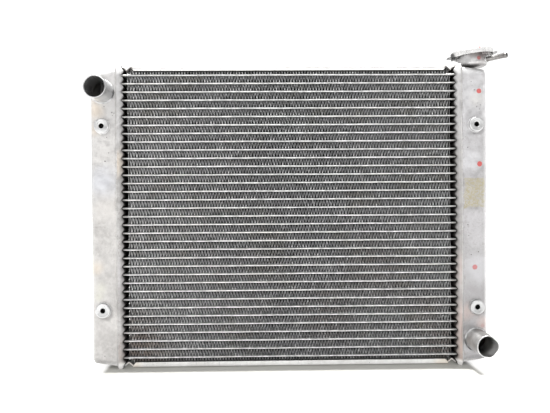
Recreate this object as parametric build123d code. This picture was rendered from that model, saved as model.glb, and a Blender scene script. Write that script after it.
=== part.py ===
from build123d import *
import math
import os

# Car radiator, all aluminium, cross-flow, with its filler neck, pressure cap and drain.
# Millimetres. +X is to the right seen from the front, +Z is up, and the front faces -Y.
# Origin: centre of the four threaded mounting bosses, on the plane of their front faces.
# Cutting shapes run a little past the faces they cut. A pair named _w, _y or _z is a
# lower and an upper limit along that axis.

# ---------------------------------------------------------------- shared dimensions
core_z = 1.4              # height of the core's centre
core_y = 26.5             # depth of the core's middle plane
past = 1.0                # usual overshoot of a cutting shape
joint_gap = 0.05          # clearance round parts let into a tank or header

n_tubes = 35
tube_pitch = 9.1
tube_t = 1.8              # flat tube, outside height
tube_depth = 32.0         # flat tube, outside front to back
half_depth = tube_depth / 2
fin_h = tube_pitch - tube_t

# side plate web, measured up or down from the core's centre
plate_t = 1.5
web_in = (n_tubes - 1) / 2 * tube_pitch + tube_t / 2 + fin_h
web_out = web_in + plate_t
plate_tab_half_y = 12.0   # tongue of the web that enters the header

tank_half_y = 21.0
tank_front_y = core_y - tank_half_y
tank_back_y = core_y + tank_half_y

pipe_x = 203.6
inlet_z = 137.4
outlet_z = -136.0
pipe_root_r = 11.4        # part of the stub inside the tank's wall

boss_x = 204.0
boss_z = 100.0
boss_spigot_r = 5.75

spigot_x = 204.5          # spigot joining the filler neck to the tank
spigot_r = 6.0

drain_x = 203.0
drain_z = -145.0
bung_spigot_r = 7.0

os.makedirs("parts", exist_ok=True)


# ---------------------------------------------------------------- helpers
def polygon(points):
    return Wire.make_polygon([Vector(p) for p in points], close=True)


def one(shape):
    """The single solid in a shape."""
    found = shape.solids()
    assert len(found) == 1, len(found)
    return found[0]


def prism_y(points, y0, y1):
    """Polygon of (x, z) points, from y0 to y1."""
    face = Face(polygon((x, y0, z) for x, z in points))
    return one(extrude(face, amount=y1 - y0, dir=(0, 1, 0)))


def prism_x(outer, holes, x0, x1):
    """Polygon of (y, z) points with holes, from x0 to x1."""
    rim, *inner = [polygon((x0, y, z) for y, z in points) for points in [outer, *holes]]
    return one(extrude(Face(rim, inner), amount=x1 - x0, dir=(1, 0, 0)))


def cyl_y(r, y0, y1, x, z):
    return Pos(x, (y0 + y1) / 2, z) * Rot(90, 0, 0) * Cylinder(r, abs(y1 - y0))


def cyl_w(r, w0, w1):
    """Upright cylinder on the local axis."""
    return Pos(0, 0, (w0 + w1) / 2) * Cylinder(r, abs(w1 - w0))


def box(x0, x1, y0, y1, z0, z1):
    return Pos((x0 + x1) / 2, (y0 + y1) / 2, (z0 + z1) / 2) * Box(x1 - x0, y1 - y0, z1 - z0)


def sector(r0, r1, w0, w1, half_deg, mid_deg):
    """Ring sector about the w axis."""
    ring = cyl_w(r1, w0, w1) - cyl_w(r0, w0 - past, w1 + past)
    reach = r1 * 2
    fan = [math.radians(half_deg * (k / 4 - 1)) for k in range(9)]
    arc = [(reach * math.cos(a), reach * math.sin(a), w0 - past) for a in fan]
    wedge = Face(polygon([(0, 0, w0 - past)] + arc))
    cut = extrude(wedge, amount=w1 - w0 + 2 * past, dir=(0, 0, 1))
    return Rot(0, 0, mid_deg) * one(ring & cut)


def end_circle(shape, axis, index):
    """First (0) or last (-1) circular edge along an axis."""
    return shape.edges().filter_by(GeomType.CIRCLE).sort_by(axis)[index]


def flipped(shape):
    return mirror(shape, about=Plane.YZ)


def save(name, *shapes):
    solids = [solid for shape in shapes for solid in shape.solids()]
    whole = solids[0] if len(solids) == 1 else Compound(children=solids)
    export_step(whole, f"parts/{name}.step", write_pcurves=False)


# ---------------------------------------------------------------- core tubes
tube_wall = 0.35
tube_web = 0.4            # rib down the middle of each tube
tube_end_x = 188.9        # tube reaches this far to each side, inside the tanks
nose_facet = math.radians(60)
channel_extra = 0.2       # how far each channel runs into the nose

tube_z = [core_z + (i - (n_tubes - 1) / 2) * tube_pitch for i in range(n_tubes)]


def tube(z):
    """Flat tube with two channels and a faceted nose at the front and back."""
    nose = tube_t / 2
    flat = half_depth - nose
    tip = flat + nose * math.sin(nose_facet)
    tip_z = nose * math.cos(nose_facet)
    profile = [(-flat, nose), (flat, nose), (tip, tip_z), (tip, -tip_z),
               (flat, -nose), (-flat, -nose), (-tip, -tip_z), (-tip, tip_z)]
    top = nose - tube_wall
    end = flat + channel_extra
    web = tube_web / 2
    channels = [[(y0, -top), (y1, -top), (y1, top), (y0, top)]
                for y0, y1 in ((-end, -web), (web, end))]
    outer, *holes = [[(core_y + y, z + dz) for y, dz in points]
                     for points in [profile, *channels]]
    return prism_x(outer, holes, -tube_end_x, tube_end_x)


save("core_tubes", *[tube(z) for z in tube_z])

# ---------------------------------------------------------------- corrugated fins
fin_t = 0.14
fin_periods = 113
outer_periods = 111       # the outermost strips stop short of the fold in the side plate
fin_end_x = 176.7
fin_gap = 0.02            # gap above and below each strip
fin_period = 2 * fin_end_x / fin_periods


def fin_strip(z, periods):
    """Zigzag strip of sheet, folded between the tubes above and below."""
    end = periods * fin_period / 2
    half_h = fin_h / 2 - fin_gap
    slope = 2 * half_h / (fin_period / 2)
    half_sheet = fin_t / 2 * math.sqrt(1 + slope * slope)    # measured along z
    upper, lower = [], []
    for i in range(2 * periods + 1):
        x = -end + i * fin_period / 2
        fold = (half_h - half_sheet) * (1 if i % 2 else -1)
        upper.append((x, z + fold + half_sheet))
        lower.append((x, z + fold - half_sheet))
    return prism_y(upper + lower[::-1], core_y - half_depth, core_y + half_depth)


strips = [fin_strip(core_z + (i - n_tubes / 2) * tube_pitch,
                    outer_periods if i in (0, n_tubes) else fin_periods)
          for i in range(n_tubes + 1)]
save("fins_lower", *strips[:12])
save("fins_middle", *strips[12:24])
save("fins_upper", *strips[24:])

# ---------------------------------------------------------------- side plates
plate_flange_t = 1.2
plate_flange_h = 5.0
plate_flange_gap = 0.1    # between the flanges and the core
plate_flange_top_x = 173.2
plate_flange_low_x = 170.2
plate_tab_end_x = 187.2
# right half of the web's middle line: x, offset away from the core
plate_line = [(0, 0), (174.9, 0), (178.6, -3.3), (182.3, 0), (plate_tab_end_x, 0)]


def side_plate(sign):
    """Channel-shaped plate above (1) or below (-1) the core, with a fold near each end."""
    def z(v):
        return core_z + sign * v

    middle = (web_in + web_out) / 2
    right = [(x, middle + rise) for x, rise in plate_line]
    path = [(-x, v) for x, v in right[:0:-1]] + right
    half_t = plate_t / 2
    strip = [(x, z(v + half_t)) for x, v in path] + [(x, z(v - half_t)) for x, v in path[::-1]]
    tongue = prism_y(strip, core_y - plate_tab_half_y, core_y + plate_tab_half_y)
    y_in = half_depth + plate_flange_gap
    y_out = y_in + plate_flange_t
    web = box(-plate_flange_top_x, plate_flange_top_x, core_y - y_out, core_y + y_out,
              *sorted((z(web_in), z(web_out))))
    edge = web_out - plate_flange_h
    flange = [(-plate_flange_top_x, z(web_out)), (plate_flange_top_x, z(web_out)),
              (plate_flange_low_x, z(edge)), (-plate_flange_low_x, z(edge))]
    front = prism_y(flange, core_y - y_out, core_y - y_in)
    back = prism_y(flange, core_y + y_in, core_y + y_out)
    return web + tongue + front + back


save("top_side_plate", side_plate(1))
save("bottom_side_plate", side_plate(-1))

# ---------------------------------------------------------------- headers
header_t = 1.5
header_web_t = 1.9
header_half_y = 22.55
header_half_z = 166.0
header_valley_x = 184.6   # tube plane
header_apex_x = 181.3     # crest of each rib between tubes
header_end_step = 0.7     # the web's ends lie this far outside the valleys
header_rim_x = 190.7      # edge of the flange, which laps over the tank
tube_gap = 0.04           # clearance round each tube
slot_x = (header_apex_x - 2, header_valley_x + 4)


def header_line(shift, half_z):
    """Ribbed edge from bottom to top: valleys at the tubes, crests half way between them."""
    end_x = header_valley_x + header_end_step + shift
    first = core_z - (n_tubes + 1) / 2 * tube_pitch
    points = [(end_x, core_z - half_z)]
    for i in range(n_tubes + 2):
        z = first + i * tube_pitch
        points.append((header_valley_x + shift, z))
        if i < n_tubes + 1:
            points.append((header_apex_x + shift, z + tube_pitch / 2))
    points.append((end_x, core_z + half_z))
    return points


def header_block(shift, inset, rim_x):
    """Solid behind a ribbed line: the header's outside, or its hollow."""
    half_y, half_z = header_half_y - inset, header_half_z - inset
    rim = [(rim_x, core_z + half_z), (rim_x, core_z - half_z)]
    return prism_y(header_line(shift, half_z) + rim, core_y - half_y, core_y + half_y)


def slot(half_y, z0, z1):
    return box(*slot_x, core_y - half_y, core_y + half_y, z0, z1)


def header():
    shell = header_block(0, 0, header_rim_x)
    hollow = header_block(header_web_t, header_t, header_rim_x + 5)
    reach = tube_t / 2 + tube_gap
    slots = [slot(half_depth + tube_gap, z - reach, z + reach) for z in tube_z]
    for sign in (-1, 1):
        limits = sorted((core_z + sign * (web_in - joint_gap),
                         core_z + sign * (web_out + joint_gap)))
        slots.append(slot(plate_tab_half_y + joint_gap, *limits))
    return (shell - hollow) - Compound(children=[Solid(one(s).wrapped) for s in slots])


right_header = header()
save("right_header", right_header)
save("left_header", flipped(right_header))

# ---------------------------------------------------------------- end tanks
tank_t = 1.6
tank_in_x = 187.3         # tank rim, inside the header flange
tank_out_x = 216.0
tank_half_z_in = 163.4
tank_half_z_out = 160.0
tank_corner_in = 5.0
tank_corner_out = 9.0
tank_edge_r = 3.0
spigot_cut_z = (157.0, 171.0)


def pan(inset, x_in):
    """Tapered pan with a rounded far end, inset from the tank's outside."""
    sections = []
    for x, half_z, corner in ((x_in, tank_half_z_in, tank_corner_in),
                              (tank_out_x - inset, tank_half_z_out, tank_corner_out)):
        plane = Plane(origin=(x, core_y, core_z), x_dir=(0, 1, 0), z_dir=(1, 0, 0))
        sections.append(plane * RectangleRounded(
            2 * (tank_half_y - inset), 2 * (half_z - inset), corner - inset))
    body = loft(sections, ruled=True)
    far = body.faces().sort_by(Axis.X)[-1]
    return fillet(far.edges(), tank_edge_r - inset)


def wall_hole(r, wall_y, x, z):
    return cyl_y(r + joint_gap, wall_y - 3, wall_y + 3, x, z)


def tank(*extra_holes):
    """Right-hand tank with its two boss holes and any others."""
    # the hollow starts a hair before the rim, so that it opens it
    shape = pan(0, tank_in_x) - pan(tank_t, tank_in_x - 0.001)
    boss_holes = [wall_hole(boss_spigot_r, tank_front_y, boss_x, s * boss_z) for s in (-1, 1)]
    for hole in [*boss_holes, *extra_holes]:
        shape = shape - hole
    return shape


save("right_tank", tank(
    wall_hole(pipe_root_r, tank_front_y, pipe_x, outlet_z),
    wall_hole(bung_spigot_r, tank_back_y, drain_x, drain_z),
    Pos(spigot_x, core_y, 0) * cyl_w(spigot_r + joint_gap, *spigot_cut_z)))
save("left_tank", flipped(tank(wall_hole(pipe_root_r, tank_front_y, pipe_x, inlet_z))))

# ---------------------------------------------------------------- hose stubs
pipe_r = 12.0
pipe_wall = 1.2
pipe_mouth_r = 0.5        # rounding of the mouth
pipe_root_depth = 2.4
inlet_len = 39.0
outlet_len = 43.0


def pipe(x, z, length):
    y0, y1 = tank_front_y - length, tank_front_y + pipe_root_depth
    stub = cyl_y(pipe_r, y0, tank_front_y, x, z)
    stub = fillet(end_circle(stub, Axis.Y, 0), pipe_mouth_r)
    stub = stub + cyl_y(pipe_root_r, tank_front_y - 1, y1, x, z)
    return stub - cyl_y(pipe_r - pipe_wall, y0 - past, y1 + past, x, z)


save("inlet_pipe", pipe(-pipe_x, inlet_z, inlet_len))
save("outlet_pipe", pipe(pipe_x, outlet_z, outlet_len))

# ---------------------------------------------------------------- mounting bosses
boss_r = 8.0
boss_edge_r = 1.0
boss_depth = 13.0         # front face to the spigot's end
boss_hole_r = 2.5         # M6 tapping size
boss_hole_depth = 11.0
boss_lead = 0.4           # small chamfer at the mouth of each hole


def boss(x, z):
    """Head standing on the tank's front wall, with a spigot through it and a blind hole."""
    head = cyl_y(boss_r, 0, tank_front_y, x, z)
    head = fillet(end_circle(head, Axis.Y, 0), boss_edge_r)
    body = head + cyl_y(boss_spigot_r, tank_front_y, boss_depth, x, z)
    body = body - cyl_y(boss_hole_r, -past, boss_hole_depth, x, z)
    circles = body.edges().filter_by(GeomType.CIRCLE)
    lip = circles.filter_by(lambda e: abs(e.radius - boss_hole_r) < 0.01).sort_by(Axis.Y)[0]
    return chamfer(lip, boss_lead)


for side, sign_x in (("left", -1), ("right", 1)):
    for level, sign_z in (("upper", 1), ("lower", -1)):
        save(f"boss_{level}_{side}", boss(sign_x * boss_x, sign_z * boss_z))

# ---------------------------------------------------------------- filler neck
# Neck and cap are built upright about their own axis, with w = 0 on the neck's top face.
neck_x, neck_z = 206.2, 182.7
neck_lean = 7.0           # degrees, towards -X
neck_r = 16.0
neck_in_r = 14.4
neck_w = (-17.6, -0.5)
neck_low_fillet = 6.0
neck_seat_w = -14.8
neck_seat_r = 7.5         # recess in the middle of the seat
neck_seat_depth = 1.5
spigot_in_r = 4.6
spigot_z = (160.8, 166.0)
spigot_bore_z = (158.0, 168.0)

flange_r = 20.5
flange_t = 1.6
flange_edge_r = 0.7
rim_low_w = -6.2          # lower edge of the turned-down rim
rim_in_r = 19.3
rim_w = -4.55             # middle height of the cam ramp
rim_slope = 0.08          # cam ramp
ramp_reach = 30.0
ramp_cut_w = -14.0        # bottom of the cut under the ramp
notch_half = 16.0         # half angle of each entry notch
notch_r = (rim_in_r - 0.4, 26.0)

nipple_r = 2.8
nipple_in_r = 1.8
nipple_bead_r = 3.2
nipple_w = -11.0
nipple_end_r = 39.6
nipple_root_r = neck_in_r + 0.2
nipple_dir = Rot(0, 0, -40.0)
place = Location((neck_x, core_y, neck_z), (0, -neck_lean, 0))


def below_ramp(turn):
    """What is cut from one half of the turned-down rim, to leave its cam ramp."""
    rise = ramp_reach * rim_slope
    face = Face(polygon([(0, -ramp_reach, rim_w - rise), (0, ramp_reach, rim_w + rise),
                         (0, ramp_reach, ramp_cut_w), (0, -ramp_reach, ramp_cut_w)]))
    half = one(extrude(face, amount=ramp_reach, dir=(1, 0, 0)))
    return Rot(0, 0, turn) * one(half - cyl_w((neck_r + rim_in_r) / 2, ramp_cut_w - 2, 2))


def neck_flange():
    flange = cyl_w(flange_r, rim_low_w, 0)
    flange = fillet(end_circle(flange, Axis.Z, -1), flange_edge_r)
    flange = one(flange - cyl_w(rim_in_r, -8, -flange_t))
    for turn in (0, 180):
        flange = one(flange - below_ramp(turn))
    for turn in (90, 270):
        flange = flange - sector(*notch_r, -9, -flange_t + 0.02, notch_half, turn)
    return flange


def filler_neck():
    cup = fillet(end_circle(cyl_w(neck_r, *neck_w), Axis.Z, 0), neck_low_fillet)
    neck = one(cup + neck_flange())
    neck = neck - cyl_w(neck_in_r, neck_seat_w, past)
    neck = neck - cyl_w(neck_seat_r, neck_seat_w - neck_seat_depth, past)
    nipple_hole = Rot(0, 90, 0) * Cylinder(nipple_r + 0.02, 8)
    neck = place * (neck - nipple_dir * (Pos(neck_r, 0, nipple_w) * nipple_hole))
    # the spigot stands upright, so it joins the neck after the lean
    upright = Pos(spigot_x, core_y, 0)
    neck = neck + upright * cyl_w(spigot_r, *spigot_z)
    return neck - upright * cyl_w(spigot_in_r, *spigot_bore_z)


def overflow_nipple():
    """Small tube with a bead near its free end."""
    # distance from the neck's axis, radius
    profile = [
        (nipple_root_r, nipple_in_r), (nipple_end_r, nipple_in_r), (nipple_end_r, nipple_r),
        (nipple_end_r - 1.2, nipple_bead_r), (nipple_end_r - 2.8, nipple_bead_r),
        (nipple_end_r - 3.8, nipple_r), (nipple_root_r, nipple_r)]
    face = Face(polygon((x, 0, r) for x, r in profile))
    nipple = revolve(face, Axis((0, 0, 0), (1, 0, 0)), 360)
    return nipple_dir * (Pos(0, 0, nipple_w) * nipple)


save("filler_neck", filler_neck())
save("overflow_nipple", place * overflow_nipple())

# ---------------------------------------------------------------- cap shell
cap_r = 23.2
cap_wall = 0.8
cap_top_w = 2.55
cap_top_t = 0.9
cap_edge_r = 2.2
cap_room_edge_r = 1.4
cap_skirt_w = -3.9        # lower edge of the skirt between the tabs
cap_tab_w = (-6.05, -5.2)
cap_tab_in_r = 19.0
cap_tab_half = 12.0       # half angle of each tab
ear_r = 28.1
ear_t = 0.9
ear_lift = 0.1            # above the skirt's lower edge
ear_tip = [(ear_r - 2.0, -6.6), (ear_r - 0.5, -5.0), (ear_r, -3.2),    # x, y
           (ear_r, 3.2), (ear_r - 0.5, 5.0), (ear_r - 2.0, 6.6)]
shell_hole_r = 2.56       # for the rivet


def cap_ear():
    """Ear whose root follows the middle of the skirt's wall, clear of the room inside."""
    root_r = cap_r - cap_wall / 2
    root = [(math.sqrt(root_r ** 2 - y * y), y) for y in (9.0, 6.0, 3.0, 0.0, -3.0, -6.0, -9.0)]
    face = Face(polygon((x, y, cap_skirt_w + ear_lift) for x, y in ear_tip + root))
    return one(extrude(face, amount=ear_t, dir=(0, 0, 1)))


def cap_shell():
    low_w, tab_top_w = cap_tab_w
    dome = cyl_w(cap_r, low_w, cap_top_w)
    dome = fillet(end_circle(dome, Axis.Z, -1), cap_edge_r)
    room = cyl_w(cap_r - cap_wall, tab_top_w, cap_top_w - cap_top_t)
    room = fillet(end_circle(room, Axis.Z, -1), cap_room_edge_r)
    shell = one(dome - room - cyl_w(cap_tab_in_r, low_w - past, tab_top_w + 0.5))
    for turn in (90, 270):
        shell = one(shell - sector(16, 32, low_w - past, cap_skirt_w, 90 - cap_tab_half, turn))
    for turn in (0, 180):
        shell = one(shell + Rot(0, 0, turn) * cap_ear())
    return shell - cyl_w(shell_hole_r, 0, 5)


save("cap_shell", place * cap_shell())

# ---------------------------------------------------------------- cap rivet, disc, seal, bell
rivet_r = 2.5
rivet_w = (-0.4, 3.0)
rivet_foot_r = 4.2
rivet_foot_top_w = 0.4
rivet_head_r = 4.8
rivet_head_w = (2.6, 3.7)
rivet_head_edge_r = 0.8
rivet_hole = cyl_w(rivet_r + 0.02, 0, 3)

disc_r = 20.3             # diaphragm and top seal
diaphragm_w = (1.3, 1.6)
top_seal_w = (0.05, 1.25)
top_seal_in_r = 13.75

bell_r = 13.6
bell_w = (-14.4, 1.25)
bell_in_r = 13.0
bell_room_w = (-13.8, 0.45)
bell_mouth_r = 11.4
bell_mouth_top_w = -13.3
window_r = 2.6            # four round windows in the bell's wall
window_w = -6.0


def cap_rivet():
    rivet = cyl_w(rivet_r, *rivet_w) + cyl_w(rivet_foot_r, rivet_w[0], rivet_foot_top_w)
    head = cyl_w(rivet_head_r, *rivet_head_w)
    return rivet + fillet(end_circle(head, Axis.Z, -1), rivet_head_edge_r)


def cap_bell():
    bell = cyl_w(bell_r, *bell_w) - cyl_w(bell_in_r, *bell_room_w)
    bell = bell - cyl_w(bell_mouth_r, -16, bell_mouth_top_w) - rivet_hole
    for turn in (45, 135):
        cutter = Pos(0, 0, window_w) * Rot(0, 90, 0) * Cylinder(window_r, 40)
        bell = bell - Rot(0, 0, turn) * cutter
    return bell


save("cap_rivet", place * cap_rivet())
save("cap_diaphragm", place * (cyl_w(disc_r, *diaphragm_w) - rivet_hole))
save("cap_top_seal", place * (cyl_w(disc_r, *top_seal_w) - cyl_w(top_seal_in_r, -1, 3)))
save("cap_bell", place * cap_bell())


# ---------------------------------------------------------------- cap springs
def coil(r, wire, w0, w1, turns, steps):
    """Wire spring from w0 to w1, as a closed solid of flat facets, with steps per turn."""
    sides = 6
    count = int(turns * steps)
    rise = (w1 - w0) - wire
    rings = []
    for k in range(count + 1):
        a = 2 * math.pi * k / steps
        middle = Vector(r * math.cos(a), r * math.sin(a), w0 + wire / 2 + rise * k / count)
        out = Vector(math.cos(a), math.sin(a), 0)
        around = [2 * math.pi * j / sides for j in range(sides)]
        rings.append([middle + out * (wire / 2 * math.cos(b))
                      + Vector(0, 0, wire / 2 * math.sin(b)) for b in around])

    faces = [Face(polygon(rings[0])), Face(polygon(rings[-1]))]
    for ring, following in zip(rings, rings[1:]):
        for j in range(sides):
            a0, a1 = ring[j], ring[(j + 1) % sides]
            b0, b1 = following[j], following[(j + 1) % sides]
            faces += [Face(polygon([a0, a1, b1])), Face(polygon([a0, b1, b0]))]
    body = Solid(Shell(faces))
    return body if body.volume > 0 else Solid(Shell([-f for f in faces]))


save("pressure_spring", place * coil(r=10.6, wire=1.5, w0=-12.3, w1=0.35, turns=4.5, steps=16))
save("vacuum_spring", place * coil(r=1.6, wire=0.35, w0=-12.35, w1=-9.75, turns=3.0, steps=12))

# ---------------------------------------------------------------- cap valves
plate_r = 12.4
plate_w = (-13.1, -12.4)
plate_stem_hole_r = 0.97
plate_port_r = 0.8        # four ports round the stem
plate_port_x = 3.4

seal_r = 11.1
seal_w = (-14.75, -13.15)
seal_recess_r = 8.2       # recess in the underside
seal_recess_top_w = -13.85
seal_hole_r = 4.8

# vacuum valve: radius, lower and upper w of its disc, stem and stem head
valve_steps = [(6.2, -14.7, -13.9), (0.9, -14.3, -9.4), (2.3, -9.7, -9.2)]


def pressure_plate():
    plate = cyl_w(plate_r, *plate_w) - cyl_w(plate_stem_hole_r, -15, -11)
    for k in range(4):
        plate = plate - Rot(0, 0, 45 + 90 * k) * (
            Pos(plate_port_x, 0, -12.8) * Cylinder(plate_port_r, 3))
    return plate


def pressure_seal():
    seal = cyl_w(seal_r, *seal_w) - cyl_w(seal_recess_r, -16, seal_recess_top_w)
    return seal - cyl_w(seal_hole_r, -16, -12)


def vacuum_valve():
    disc, stem, head = [cyl_w(*step) for step in valve_steps]
    return disc + stem + head


save("pressure_plate", place * pressure_plate())
save("pressure_seal", place * pressure_seal())
save("vacuum_valve", place * vacuum_valve())

# ---------------------------------------------------------------- drain
drain_hole_r = 5.0
drain_clear = 0.06        # between the plug's shank and the bung
drain_gap = 0.05          # each side of the washer
drain_edge = 0.8          # rounding of the bung, chamfer of the plug
bung_r = 9.0
bung_h = 7.0
bung_spigot_depth = 3.0
washer_r = 8.4
washer_hole_r = 5.1
washer_t = 1.2
hex_in_r = 7.5            # half the width across the flats
hex_h = 6.0
shank_depth = 4.0         # inside the tank's back face
washer_y = tank_back_y + bung_h + drain_gap
head_y = washer_y + washer_t + drain_gap


def drain_cyl(r, y0, y1):
    return cyl_y(r, y0, y1, drain_x, drain_z)


def drain_bung():
    bung = drain_cyl(bung_r, tank_back_y, tank_back_y + bung_h)
    bung = fillet(end_circle(bung, Axis.Y, -1), drain_edge)
    bung = bung + drain_cyl(bung_spigot_r, tank_back_y - bung_spigot_depth, tank_back_y + 1)
    return bung - drain_cyl(drain_hole_r, tank_back_y - 6, tank_back_y + 9)


def drain_washer():
    washer = drain_cyl(washer_r, washer_y, washer_y + washer_t)
    return washer - drain_cyl(washer_hole_r, washer_y - past, washer_y + 3)


def drain_plug():
    hexagon = extrude(RegularPolygon(hex_in_r, 6, major_radius=False), amount=hex_h)
    plug = Pos(drain_x, head_y, drain_z) * Rot(-90, 0, 0) * hexagon
    plug = plug + drain_cyl(drain_hole_r - drain_clear, tank_back_y - shank_depth, head_y + 1)
    return chamfer(end_circle(plug, Axis.Y, 0), drain_edge)


save("drain_bung", drain_bung())
save("drain_washer", drain_washer())
save("drain_plug", drain_plug())
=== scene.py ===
"""An aluminium radiator: a core of flat tubes and corrugated fins between two tanks.

It stands upright and faces -y. The tubes run along x, the tanks stand at the two x ends and
the filler neck and cap are on top of the right (+x) tank. Sizes are in mm and are scaled by
MM; positions inside materials, the lights and the camera are in metres.
"""

import bpy
import functools
import math
import numpy as np
from mathutils import Matrix, Vector


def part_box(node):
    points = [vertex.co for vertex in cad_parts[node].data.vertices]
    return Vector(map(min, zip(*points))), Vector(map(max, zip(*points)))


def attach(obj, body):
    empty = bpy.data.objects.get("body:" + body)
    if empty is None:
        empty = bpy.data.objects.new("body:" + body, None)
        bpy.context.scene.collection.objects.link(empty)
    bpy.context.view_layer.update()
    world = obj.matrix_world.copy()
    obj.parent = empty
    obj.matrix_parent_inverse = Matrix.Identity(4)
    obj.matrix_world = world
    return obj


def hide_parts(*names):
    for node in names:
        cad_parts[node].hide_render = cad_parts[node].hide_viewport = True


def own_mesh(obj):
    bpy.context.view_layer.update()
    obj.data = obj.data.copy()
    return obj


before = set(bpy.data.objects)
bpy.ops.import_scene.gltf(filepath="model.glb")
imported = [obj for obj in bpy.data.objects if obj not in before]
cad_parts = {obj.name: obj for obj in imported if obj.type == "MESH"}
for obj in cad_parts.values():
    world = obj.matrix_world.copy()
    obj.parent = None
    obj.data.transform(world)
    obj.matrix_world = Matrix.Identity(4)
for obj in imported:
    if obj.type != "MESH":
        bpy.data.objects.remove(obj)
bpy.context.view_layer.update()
MM = 0.001


# ------------------------------------------------------------------ driving dimensions
def box_mm(node):
    low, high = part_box(node)
    return np.array(low) * 1000.0, np.array(high) * 1000.0


def centre_mm(node):
    low, high = box_mm(node)
    return (low + high) / 2


_, CORE_Y, CORE_Z = centre_mm("core_tubes")
PITCH = 9.1                       # from one tube to the next
N_TUBES = 35
TUBE_T = 1.8
CORE_DEPTH = 32.0
Y_FRONT = CORE_Y - CORE_DEPTH / 2
Y_BACK = CORE_Y + CORE_DEPTH / 2
FACE_Y = 5.5                      # the tanks' front faces


# ------------------------------------------------------------------ shader node helpers
class Nodes:
    """An emptied node tree, with short ways to add nodes to it."""

    def __init__(self, tree, coord):
        self.tree = tree
        for old in list(tree.nodes):
            tree.nodes.remove(old)
        self.coord = self.out("TexCoord", {}, coord)

    def add(self, kind, inputs, **settings):
        node = self.tree.nodes.new("ShaderNode" + kind)
        for key, value in settings.items():
            setattr(node, key, value)
        for key, value in inputs.items():
            self.put(node.inputs[key], value)
        return node

    def out(self, kind, inputs, output=0, **settings):
        return self.add(kind, inputs, **settings).outputs[output]

    def put(self, socket, value):
        """Links a socket, or sets a plain value; None leaves the default."""
        if isinstance(value, bpy.types.NodeSocket):
            self.tree.links.new(value, socket)
        elif value is not None:
            if socket.type == "RGBA" and len(value) == 3:
                value = (*value, 1.0)
            socket.default_value = value

    def math(self, operation, *values):
        return self.out("Math", dict(enumerate(values)), operation=operation)

    def times(self, *values):
        return functools.reduce(lambda a, b: self.math("MULTIPLY", a, b), values)

    def most(self, *values):
        return functools.reduce(lambda a, b: self.math("MAXIMUM", a, b), values)

    def inverse(self, value):
        return self.math("SUBTRACT", 1.0, value)

    def weigh(self, a, weight_a, b, weight_b):
        return self.math("ADD", self.times(a, weight_a), self.times(b, weight_b))


class Material(Nodes):
    def __init__(self, name):
        self.mat = bpy.data.materials.new(name)
        self.mat.use_nodes = True
        super().__init__(self.mat.node_tree, "Object")
        self.spec = None

    def noise(self, scale, detail=3.0, rough=0.55, vector=None, distort=0.0):
        inputs = {"Vector": vector or self.coord, "Scale": scale, "Detail": detail,
                  "Roughness": rough, "Distortion": distort}
        return self.out("TexNoise", inputs, "Fac")

    def stretch(self, scale):
        return self.out("Mapping", {"Vector": self.coord, "Scale": scale})

    def rise(self, value, start, end, low=0.0, high=1.0):
        """Smooth step from low to high as value goes from start to end."""
        inputs = {"Value": value, "From Min": start, "From Max": end,
                  "To Min": low, "To Max": high}
        return self.out("MapRange", inputs, clamp=True, interpolation_type="SMOOTHSTEP")

    def fall(self, value, start, end, high=1.0, low=0.0):
        """Smooth step from high down to low."""
        return self.rise(value, start, end, high, low)

    def mix(self, amount, a, b):
        return self.out("Mix", {0: amount, 6: a, 7: b}, 2, data_type="RGBA")

    def paint(self, colour, *masks):
        """Lays colour over the base where the product of the masks is high."""
        self.base = self.mix(self.times(*masks), self.base, colour)

    def xyz(self, vector=None):
        return self.add("SeparateXYZ", {0: vector or self.coord}).outputs

    def facing_up(self):
        """The z part of the surface normal."""
        return self.xyz(self.out("NewGeometry", {}, "Normal"))[2]

    def spot(self, centre, radius, soft, wobble, wobble_scale):
        """1 inside a blob about centre, 0 outside, all in mm; wobble makes it ragged."""
        offset = self.out("VectorMath", {0: self.coord, 1: [c * MM for c in centre]},
                          operation="SUBTRACT")
        offset = self.out("VectorMath", {0: offset, 1: (1, 1, 1)}, operation="MULTIPLY")
        distance = self.out("VectorMath", {0: offset}, "Value", operation="LENGTH")
        edge = self.math("SUBTRACT", self.noise(wobble_scale, 2.0), 0.5)
        distance = self.math("ADD", distance, self.times(edge, wobble * MM * 2))
        return self.fall(distance, (radius - soft) * MM, (radius + soft) * MM)

    def bump(self, height, strength, distance, normal=None):
        return self.out("Bump", {"Strength": strength, "Distance": distance,
                                 "Height": height, "Normal": normal})

    def finish(self, normal, glow=None):
        inputs = {"Base Color": self.base, "Roughness": self.rough, "Metallic": self.metal,
                  "Normal": normal, "Specular IOR Level": self.spec}
        if glow is not None:
            inputs.update({"Emission Color": (1, 1, 1), "Emission Strength": glow})
        self.add("OutputMaterial", {"Surface": self.out("BsdfPrincipled", inputs)})
        return self.mat


def gray(value):
    return (value, value, value)


# ------------------------------------------------------------------ aluminium
ALUMINIUM_METALLIC = 0.85


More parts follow.
